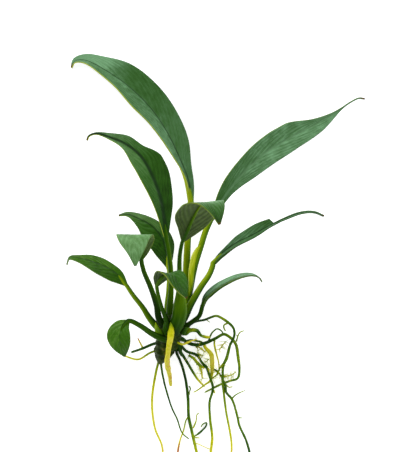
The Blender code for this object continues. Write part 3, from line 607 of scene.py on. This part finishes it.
lowLeftSmall = {
    "blade": [(-11.2, 0.4, 12.6), (-12.7, -1.2, 13.0), (-13.5, -3.6, 13.0), (-13.2, -6.6, 12.2),
              (-12.2, -9.4, 10.4)],
    "heel": [(0.0, -4.8, 7.0)],
    "stalk": [(-2.5, -4.3, 9.2), (-5.2, -2.9, 11.0), (-7.6, -1.2, 11.9), (-10.4, 0.3, 12.4)],
    "left": (0.5, 2.2, 3.0, 2.9, 1.9, 0.2),
    "right": (0.5, 2.5, 3.5, 2.9, 1.6, 0.2),
    "face": (0, 0.3, 1), "rolls": (0, 0, 0, 0, 0), "fold": 10,
    "veins": 6, "veinLean": 0.4, "ripple": 0.04, "ribWidth": 0.3, "ribTone": -0.2, "gloss": 0.95, "fresh": 0.95,
    "tonesAndSheen": {"left": (0.45, 0.4, 0.35, 0.3), "right": (0.7, 0.6, 0.5, 0.4)},
    "rims": {"left": 0.2, "right": 0.4},
    "stalkRadii": (1.2, 0.8, 0.65), "stalkTints": (0.0, 0.12, 0.15, 0.2, 0.3), "paintedLitSide": 0.1,
}
makeStalk("stalkLowLeftSmall", "stalk_low_left_small", lowLeftSmall,
          makeLeaf("leafLowLeftSmall", "leaf_low_left_small", lowLeftSmall))
print("leaves and stalks made")


def makeStrip(name, node, look):
    # a thin strip curled about its own length, like an old leaf base round a stalk
    strip = bmesh.new()
    strip.loops.layers.uv.new("UVMap")
    tint = strip.verts.layers.float.new("tint")
    path = smoothPath(look["route"], 0.4)
    frames = carriedFrames(path, look["face"])
    rows = len(path) - 1
    bmesh.ops.create_grid(strip, x_segments=12, y_segments=rows, size=1.0, calc_uvs=True)
    for vert in strip.verts:
        across = vert.co.x
        row = round((vert.co.y + 1) / 2 * rows)
        along, right, out = frames[row]
        bend = math.radians(look["curl"]) * across
        width = between(look["widths"], row / rows) * mm
        vert[tint] = between(look["tints"], row / rows) - across * look["shade"]
        slant = along * (across * look["slant"] * mm * (row / rows) ** 4)
        vert.co = path[row] + (right * math.sin(bend) + out * (math.cos(bend) - 0.4)) * width + slant
    bmesh.ops.recalc_face_normals(strip, faces=strip.faces)
    nearest = min(strip.faces, key=lambda face: (face.calc_center_median() - path[2]).length)
    if nearest.normal.dot(frames[2][2]) < 0:
        bmesh.ops.reverse_faces(strip, faces=strip.faces)
    piece = finishPiece(name, strip, (stalkSkin,), node)
    wall = piece.modifiers.new("wall", "SOLIDIFY")
    wall.thickness = 0.22 * mm
    wall.offset = -1.0


sheath = {
    "route": [(5.3, 7.0, 7.2), (5.6, 8.8, 7.4), (5.8, 14.0, 7.4), (6.6, 18.0, 7.4), (7.7, 20.4, 7.4)],
    "widths": (0.3, 0.6, 0.8, 0.8, 0.75, 0.45), "curl": 85, "shade": 0.16, "slant": 0.7,
    "tints": (0.55, 0.7, 0.82, 0.86, 0.84), "face": (0, 0, 1),
}
makeStrip("sheathStrip", "sheath", sheath)
oldBases = {
    "oldBaseLeft": {
        "route": [(-2.0, -4.4, 9.0), (-3.2, -2.6, 8.6), (-4.0, -0.4, 7.8)], "widths": (0.8, 1.3, 0.9, 0.2),
        "curl": 60, "shade": 0.1, "slant": 0.2, "tints": (0.2, 0.5, 0.75), "face": (-0.6, 0, 1)},
    "oldBaseMiddle": {
        "route": [(-0.6, -3.6, 10.2), (-1.0, -1.2, 10.6), (-0.9, 1.2, 10.2)], "widths": (0.9, 1.2, 0.8, 0.2),
        "curl": 60, "shade": 0.1, "slant": 0.2, "tints": (0.0, 0.1, 0.2), "face": (0, 0, 1)},
    "oldBaseRight": {
        "route": [(3.0, -3.4, 8.6), (4.2, -2.0, 8.0), (5.2, -1.6, 7.2)], "widths": (0.8, 0.9, 0.6, 0.15),
        "curl": 55, "shade": -0.1, "slant": 0.2, "tints": (0.05, 0.2, 0.5), "face": (0.4, 0, 1)},
}
for name, look in oldBases.items():
    makeStrip(name, None, look)
print("sheath and old leaf bases made")

# The rhizome: a knobbly stem with ridges where old leaves were
rhizome = {
    "route": [(0.7, 2.4, 6.9), (0.4, -1.0, 6.5), (-0.6, -5.0, 5.0), (-2.0, -8.8, 3.5), (-2.9, -11.6, 2.9)],
    "radii": (1.2, 3.2, 3.4, 3.1, 2.8, 2.3, 0.5), "scarHeight": 0.17, "scarSpacing": 2.3, "lumps": 0.5,
}
body = bmesh.new()
stemPath = smoothPath(rhizome["route"], 0.3)
stemFrames = carriedFrames(stemPath, (0, 0, 1))
stemRows = len(stemPath) - 1
bmesh.ops.create_cone(body, cap_ends=True, segments=40, radius1=1.0, radius2=1.0, depth=2.0)
sideEdges = [edge for edge in body.edges if abs(edge.verts[0].co.z - edge.verts[1].co.z) > 1]
bmesh.ops.subdivide_edges(body, edges=sideEdges, cuts=stemRows - 1, use_grid_fill=True)
for vert in body.verts:
    row = round((vert.co.z + 1) / 2 * stemRows)
    along, right, out = stemFrames[row]
    angle = math.atan2(vert.co.y, vert.co.x)
    direction = right * math.cos(angle) + out * math.sin(angle)
    scar = math.sin(2 * math.pi * row * 0.3 / rhizome["scarSpacing"] + angle) * rhizome["scarHeight"]
    spot = (stemPath[row] + direction * 3 * mm) / mm
    lump = noise.noise(spot * 0.9) * rhizome["lumps"] + noise.noise(spot * 2.6) * rhizome["lumps"] * 0.5
    reach = between(rhizome["radii"], row / stemRows) + (scar + lump) * math.sin(math.pi * row / stemRows)
    vert.co = stemPath[row] + direction * reach * mm
bmesh.ops.recalc_face_normals(body, faces=body.faces)
finishPiece("rhizomeStem", body, (rhizomeSkin,), "rhizome")
print("rhizome made")


def makeRoot(name, node, route, radii, tints, lumpy=0.14):
    shape = bmesh.new()
    path = smoothPath(route, 0.4)
    # painted light: 0.05 gives each root a faintly lighter lit side
    addTube(shape, path, radii, tints, 14, 0.05, lumpy=lumpy, seed=len(name))
    closeTubes(shape)
    return finishPiece(name, shape, (rootSkin,), node)


makeRoot("rootPaleThick", "root_pale_thick",
         [(0.5, 0.6, 10.2), (0.4, -1.4, 10.8), (0.1, -4.5, 11.5), (-0.5, -8.0, 10.2), (-0.8, -11.0, 8.0),
          (-0.4, -13.4, 5.8), (0.0, -15.6, 3.4), (0.1, -17.8, 1.4)],
         (0.3, 0.78, 0.8, 0.68, 0.74, 0.7, 0.6, 0.52, 0.4), (0.4, 0.68, 0.78, 0.82, 0.86, 0.84, 0.86, 0.8),
         0.3)
makeRoot("rootArch", "root_arch",
         [(2.4, -2.9, 4.6), (4.3, -2.0, 4.4), (6.2, -0.3, 4.3), (9.5, 0.5, 4.5), (12.6, 1.5, 4.8),
          (15.1, 0.2, 4.9), (17.1, -1.7, 4.8), (17.4, -3.8, 4.7), (16.2, -6.6, 4.1), (15.4, -9.8, 3.2),
          (14.4, -12.2, 2.7), (14.3, -16.4, 2.4)],
         (0.45, 0.36, 0.32, 0.34, 0.38, 0.34, 0.36, 0.44, 0.38, 0.34),
         (0.1, 0.12, 0.14, 0.14, 0.2, 0.48, 0.45, 0.28, 0.18, 0.22, 0.34, 0.42, 0.3, 0.3, 0.36))
makeRoot("rootArchForkLeft", "root_arch_fork_left",
         [(14.3, -16.0, 2.4), (14.3, -17.1, 2.2), (14.6, -20.0, 1.4), (15.2, -24.8, 0.6), (16.2, -30.0, 0.5),
          (16.7, -34.0, 0.5), (16.2, -39.4, 0.5)],
         (0.34, 0.32, 0.3, 0.3, 0.28, 0.22), (0.35, 0.45, 0.52, 0.6, 0.66, 0.74, 0.9, 0.92))
makeRoot("rootArchForkRight", "root_arch_fork_right",
         [(14.4, -16.2, 2.4), (15.0, -17.5, 2.2), (15.2, -19.3, 1.6), (16.8, -21.3, 1.2), (18.3, -26.2, 0.7),
          (18.8, -28.5, 0.6), (20.6, -32.4, 0.5), (21.6, -36.0, 0.5), (21.9, -38.6, 0.5)],
         (0.36, 0.34, 0.32, 0.32, 0.34), (0.28, 0.24, 0.36, 0.4, 0.4, 0.32, 0.24, 0.18, 0.15))
makeRoot("rootKinked", "root_kinked",
         [(1.2, -4.0, 4.8), (3.1, -4.6, 4.4), (4.6, -5.7, 3.9), (7.1, -6.4, 3.4), (9.8, -5.8, 3.1),
          (12.2, -4.7, 3.0), (14.6, -3.5, 3.0), (16.2, -4.3, 3.0), (17.8, -6.2, 2.7), (18.4, -9.4, 2.1),
          (18.8, -13.6, 1.5), (18.3, -15.6, 1.1), (16.2, -16.3, 0.8), (13.4, -17.4, 0.6), (11.0, -18.6, 0.5),
          (9.2, -19.5, 0.5)],
         (0.6, 0.52, 0.48, 0.44, 0.42, 0.42, 0.44, 0.4, 0.34, 0.32, 0.3, 0.22),
         (0.08, 0.1, 0.12, 0.16, 0.36, 0.44, 0.44, 0.42, 0.38, 0.44, 0.46, 0.55))
makeRoot("rootBrown", "root_brown",
         [(2.4, -2.8, 6.6), (4.2, -3.2, 6.4), (5.6, -2.3, 6.2), (7.3, -2.5, 5.9), (8.6, -3.9, 5.4),
          (11.0, -4.3, 4.9)],
         (0.3, 0.5, 0.62, 0.55, 0.46, 0.4, 0.28), (0.3, 0.2, 0.4, 0.55, 0.2, 0.35, 0.66, 0.76), 0.45)
makeRoot("rootPaleShort", "root_pale_short",
         [(1.2, -5.0, 7.2), (2.2, -5.7, 7.4), (3.6, -6.1, 7.0), (5.2, -5.4, 6.4), (7.4, -4.7, 5.4)],
         (0.2, 0.3, 0.26, 0.16), (0.5, 0.76, 0.82, 0.86))
makeRoot("rootMiddleLong", "root_middle_long",
         [(1.4, -5.2, 4.6), (2.7, -6.3, 4.3), (4.4, -8.1, 3.6), (7.2, -9.2, 2.8), (8.6, -11.2, 2.3),
          (9.8, -12.6, 2.1), (10.8, -15.2, 1.9), (11.6, -18.4, 1.6), (10.7, -22.0, 0.8), (10.8, -26.5, 0.5),
          (11.4, -31.8, 0.5), (11.0, -36.0, 0.5), (11.1, -41.0, 0.5)],
         (0.42, 0.38, 0.36, 0.35, 0.34, 0.36, 0.38, 0.3),
         (0.1, 0.1, 0.1, 0.14, 0.24, 0.3, 0.2, 0.32, 0.4, 0.44, 0.55, 0.68, 0.74, 0.74, 0.72))
makeRoot("rootInnerShort", "root_inner_short",
         [(1.6, -5.4, 4.0), (2.1, -7.2, 3.0), (3.8, -9.9, 1.9), (5.6, -12.9, 1.3), (7.4, -15.8, 0.7),
          (9.4, -18.0, 0.4)],
         (0.42, 0.42, 0.38, 0.35, 0.32, 0.22), (0.1, 0.14, 0.18, 0.24, 0.34, 0.72, 0.84))
makeRoot("rootInnerLong", "root_inner_long",
         [(1.5, -6.4, 4.6), (1.7, -8.4, 3.6), (2.8, -11.0, 2.9), (4.1, -15.6, 1.8), (4.8, -21.0, 0.8),
          (5.0, -26.0, 0.5), (6.0, -30.8, 0.5), (7.6, -37.6, 0.5)],
         (0.4, 0.38, 0.38, 0.4, 0.42, 0.42, 0.36), (0.06, 0.05, 0.05, 0.1, 0.2, 0.32, 0.26, 0.44, 0.6, 0.66))
makeRoot("rootInnerBranch", "root_inner_branch",
         [(4.9, -26.0, 0.5), (4.2, -27.2, 0.5), (3.6, -29.8, 0.4), (2.6, -32.6, 0.4), (1.9, -36.4, 0.4)],
         (0.2, 0.2, 0.2, 0.26, 0.28), (0.5, 0.55, 0.66, 0.84, 0.98, 1.0))
makeRoot("rootLowerGreen", "root_lower_green",
         [(-2.6, -10.6, 2.9), (-2.4, -12.7, 2.2), (-1.6, -17.0, 0.9), (0.3, -23.4, 0.4), (1.8, -26.6, 0.5),
          (3.2, -30.4, 1.2), (5.2, -32.2, 1.3)],
         (0.32, 0.28, 0.24, 0.22, 0.18), (0.2, 0.2, 0.18, 0.2, 0.3, 0.5))
makeRoot("rootLowerPale", "root_lower_pale",
         [(-3.0, -10.6, 2.9), (-3.6, -12.6, 2.0), (-5.0, -21.5, 0.5), (-4.2, -29.2, 0.4), (-2.4, -33.6, 0.4),
          (-1.9, -37.0, 0.4)],
         (0.36, 0.32, 0.28), (0.5, 0.7, 0.8, 0.85))
makeRoot("rootLeftThin", "root_left_thin",
         [(-3.6, -7.9, 3.8), (-5.4, -8.5, 3.4), (-8.8, -10.4, 1.5), (-13.0, -9.3, 0.4)],
         (0.3, 0.24), (0.5, 0.7, 0.75))
# painted shade: this root's tints are kept dark for the shadow it lies in
makeRoot("rootLeftDark", "root_left_dark",
         [(-2.6, -5.6, 5.0), (-4.4, -6.0, 5.2), (-7.6, -7.4, 3.6), (-10.8, -8.5, 1.8)],
         (0.44, 0.32), (0.1, 0.15, 0.25))
makeRoot("rootYellow", "root_yellow",
         [(9.1, -5.9, 2.9), (9.5, -7.1, 2.2), (11.1, -9.0, 1.4), (11.4, -12.0, 0.9), (11.3, -14.5, 0.7),
          (10.8, -16.3, 0.6), (9.3, -17.4, 1.0), (7.6, -18.7, 0.7), (6.2, -19.5, 0.4)],
         (0.35, 0.52, 0.64, 0.64, 0.52, 0.34, 0.26, 0.2, 0.16), (0.7, 0.76, 0.8, 0.82, 0.78, 0.72, 0.66, 0.64, 0.66))
makeRoot("rootYellowThin", "root_yellow_thin",
         [(12.1, -4.8, 2.9), (12.0, -6.2, 2.6), (12.6, -9.0, 2.2), (13.2, -11.5, 1.6), (13.2, -14.2, 0.9)],
         (0.26, 0.26, 0.2, 0.16), (0.6, 0.7, 0.84, 0.86))
makeRoot("rootStrand", None, [(0.9, -2.0, 5.8), (1.6, -4.6, 5.0), (2.4, -7.2, 4.2), (3.3, -9.7, 3.2)],
         (0.7, 0.8, 0.74, 0.3), (0.04, 0.06, 0.08, 0.14), 0.4)
print("roots made")

# Rootlets: each has its route in mm from the crown, its radii and its tints
rootlets = [
    # the loop and the twigs where the two big roots cross
    ([(10.5, -5.1, 3.3), (10.9, -3.9, 3.8), (11.7, -2.7, 4.4), (12.7, -2.0, 4.6), (13.7, -2.4, 4.3),
      (14.4, -3.2, 3.4)], (0.25, 0.2), (0.2, 0.36, 0.36, 0.28)),
    ([(15.5, -0.5, 4.9), (14.6, -1.0, 4.8), (14.6, -1.8, 4.5), (15.1, -2.7, 4.0)], (0.24, 0.2), (0.58, 0.5)),
    ([(18.0, -5.5, 2.9), (18.3, -4.2, 3.1), (19.0, -3.0, 2.9), (20.2, -2.5, 2.5)], (0.23, 0.14), (0.48, 0.62)),
    ([(18.4, -4.4, 3.0), (17.9, -3.5, 3.2)], (0.18, 0.13), (0.5, 0.6)),
    ([(9.7, 0.5, 4.4), (10.9, -0.3, 3.8)], (0.16, 0.1), (0.45, 0.6)),
    # the tangle beside the crown
    ([(2.7, -4.9, 4.8), (4.0, -5.3, 4.4), (5.6, -5.1, 4.1), (8.8, -5.6, 3.4)], (0.34, 0.3), (0.16, 0.24)),
    ([(6.9, -6.8, 3.0), (8.3, -7.3, 2.7), (9.6, -8.4, 2.2)], (0.2, 0.14), (0.62, 0.82)),
    ([(15.1, -5.5, 2.9), (14.0, -6.8, 2.6), (13.3, -8.0, 2.2)], (0.19, 0.15), (0.7, 0.84)),
    ([(6.7, -8.9, 2.8), (9.0, -9.3, 2.3)], (0.2, 0.15), (0.42, 0.58)),
    ([(10.4, -10.3, 1.8), (9.8, -11.1, 2.0)], (0.16, 0.12), (0.52, 0.62)),
    ([(5.0, -9.2, 3.2), (6.2, -9.9, 3.1), (7.2, -11.1, 2.9), (8.0, -11.9, 2.6), (9.3, -12.8, 2.3)],
     (0.34, 0.44, 0.32), (0.36, 0.58, 0.46, 0.68)),
    ([(8.0, -12.3, 2.4), (8.5, -13.9, 1.7), (8.7, -15.7, 1.2)], (0.32, 0.22), (0.64, 0.82)),
    ([(9.0, -12.0, 2.3), (10.3, -12.6, 2.6)], (0.5, 0.5), (0.14, 0.22)),
    # twigs on the hanging roots
    ([(11.9, -13.1, 2.0), (13.0, -13.9, 2.1), (13.8, -14.9, 1.8), (14.2, -16.2, 1.8)], (0.34, 0.22),
     (0.14, 0.3, 0.46)),
    ([(14.4, -11.5, 3.0), (13.5, -12.8, 2.7), (12.9, -14.2, 2.4), (11.4, -15.6, 1.6)], (0.25, 0.2),
     (0.52, 0.46, 0.58)),
    ([(14.6, -15.0, 2.2), (16.2, -14.8, 1.9), (17.9, -13.8, 1.6)], (0.17, 0.12), (0.68, 0.62)),
    ([(15.2, -17.3, 1.8), (16.0, -18.0, 1.3), (17.1, -17.8, 0.9)], (0.18, 0.13), (0.6, 0.68)),
    ([(11.8, -18.9, 1.3), (12.2, -19.8, 0.9)], (0.3, 0.18), (0.68, 0.86)),
    ([(5.1, -17.7, 1.1), (5.5, -18.4, 1.0), (5.2, -19.2, 0.8), (5.2, -20.2, 0.6)], (0.2, 0.14), (0.36, 0.56)),
    ([(16.9, -20.9, 1.1), (18.3, -19.8, 0.8), (20.6, -18.8, 0.5)], (0.23, 0.12), (0.46, 0.56)),
    ([(18.3, -26.3, 0.6), (19.8, -26.4, 0.5)], (0.17, 0.1), (0.46, 0.56)),
    ([(6.2, -29.2, 0.6), (7.0, -27.2, 0.5), (7.2, -25.6, 0.4), (7.9, -24.9, 0.3)], (0.25, 0.15), (0.62, 0.56)),
    ([(6.2, -31.5, 0.5), (7.2, -31.0, 0.5), (8.0, -30.4, 0.5), (8.6, -29.8, 0.4), (9.6, -28.8, 0.4),
      (9.9, -27.7, 0.4), (9.0, -28.0, 0.4), (8.2, -29.0, 0.4)], (0.14, 0.3, 0.24, 0.2, 0.18),
     (0.6, 0.2, 0.2, 0.3, 0.52)),
    ([(6.0, -31.6, 0.7), (8.2, -31.9, 0.4)], (0.2, 0.12), (0.56, 0.7)),
    ([(6.6, -33.3, 0.4), (7.6, -33.5, 0.4), (10.0, -34.6, 0.3), (11.1, -35.0, 0.4)], (0.14, 0.1), (0.82, 0.86)),
    ([(-8.8, -4.6, 3.2), (-8.0, -6.2, 3.4), (-7.4, -7.3, 3.6)], (0.2, 0.28), (0.98, 0.8)),
]
shape = bmesh.new()
for route, radii, tints in rootlets:
    # painted light: 0.04 gives each rootlet a faintly lighter lit side
    addTube(shape, smoothPath(route, 0.3), radii, tints, 8, 0.04, lumpy=0.25)
closeTubes(shape)
finishPiece("rootlets", shape, (rootSkin,), None)
print("rootlets made")

# Fine hairs round the crown and on the upper roots
hairs = {"count": 220, "lengths": (0.8, 2.2), "radius": 0.075, "seed": 7}
chance = random.Random(hairs["seed"])
shape = bmesh.new()
hairPaths = [smoothPath(route, 0.5) for route, radii, tints in rootlets[5:16]]
for i in range(hairs["count"]):
    base = chance.choice(chance.choice(hairPaths))
    way = Vector((chance.uniform(-1, 1), chance.uniform(-1, 0.6), chance.uniform(-0.4, 0.5))).normalized()
    bend = Vector((chance.uniform(-1, 1), chance.uniform(-1, 1), -0.2)) * 0.35
    length = chance.uniform(*hairs["lengths"]) * mm
    points = [base + way * length * k / 4 + bend * length * (k / 4) ** 2 for k in range(5)]
    for point in points:
        point.z = max(point.z, 0.1 * mm)
    addTube(shape, points, (hairs["radius"], hairs["radius"] * 0.5), (0.6, chance.uniform(0.7, 0.9)), 4)
closeTubes(shape)
finishPiece("rootHairs", shape, (rootSkin,), None)
print("hairs made")

floorLook = {"size": 4.0, "color": "#F7F8FA", "glow": 0.7}  # lit from below too, as a light table is
floorMaterial, tree, shader = newMaterial("mattePaperFloor")
place = addNode(tree, "TexCoord").outputs["Object"]
grain = addNode(tree, "TexNoise", None, {"Vector": place, "Scale": 300.0}).outputs["Fac"]
shader.inputs["Base Color"].default_value = linearColor(floorLook["color"])
shader.inputs["Roughness"].default_value = 0.9
shader.inputs["Emission Color"].default_value = (0.97, 0.98, 1.0, 1.0)
shader.inputs["Emission Strength"].default_value = floorLook["glow"]
bump = addNode(tree, "Bump", None, {"Height": grain, "Strength": 0.05, "Distance": 0.0001})
tree.links.new(bump.outputs[0], shader.inputs["Normal"])
shape = bmesh.new()
bmesh.ops.create_grid(shape, x_segments=1, y_segments=1, size=floorLook["size"] / 2)
mesh = bpy.data.meshes.new("floor")
shape.to_mesh(mesh)
shape.free()
mesh.materials.append(floorMaterial)
floor = bpy.data.objects.new("floor", mesh)
scene.collection.objects.link(floor)

# Soft light: a bright white room, a large panel towards the upper left and a weaker one at the right
world = bpy.data.worlds.new("whiteRoom")
world.use_nodes = True
world.node_tree.nodes["Background"].inputs["Color"].default_value = (1.0, 1.0, 1.0, 1.0)
world.node_tree.nodes["Background"].inputs["Strength"].default_value = 0.3
scene.world = world
panels = {
    "keyPanel": {"place": (-0.45, 0.55, 0.55), "size": 0.5, "power": 5.6},
    "sidePanel": {"place": (0.7, 0.2, 0.4), "size": 0.5, "power": 2.4},
    "frontPanel": {"place": (0.1, -0.8, 0.5), "size": 0.5, "power": 1.8},
}
for name, panel in panels.items():
    lightData = bpy.data.lights.new(name, "AREA")
    lightData.energy = panel["power"]
    lightData.size = panel["size"]
    light = bpy.data.objects.new(name, lightData)
    light.location = panel["place"]
    light.rotation_euler = (-light.location).to_track_quat("-Z", "Y").to_euler()
    scene.collection.objects.link(light)
scene.view_settings.view_transform = "Standard"
print("floor and lights made")
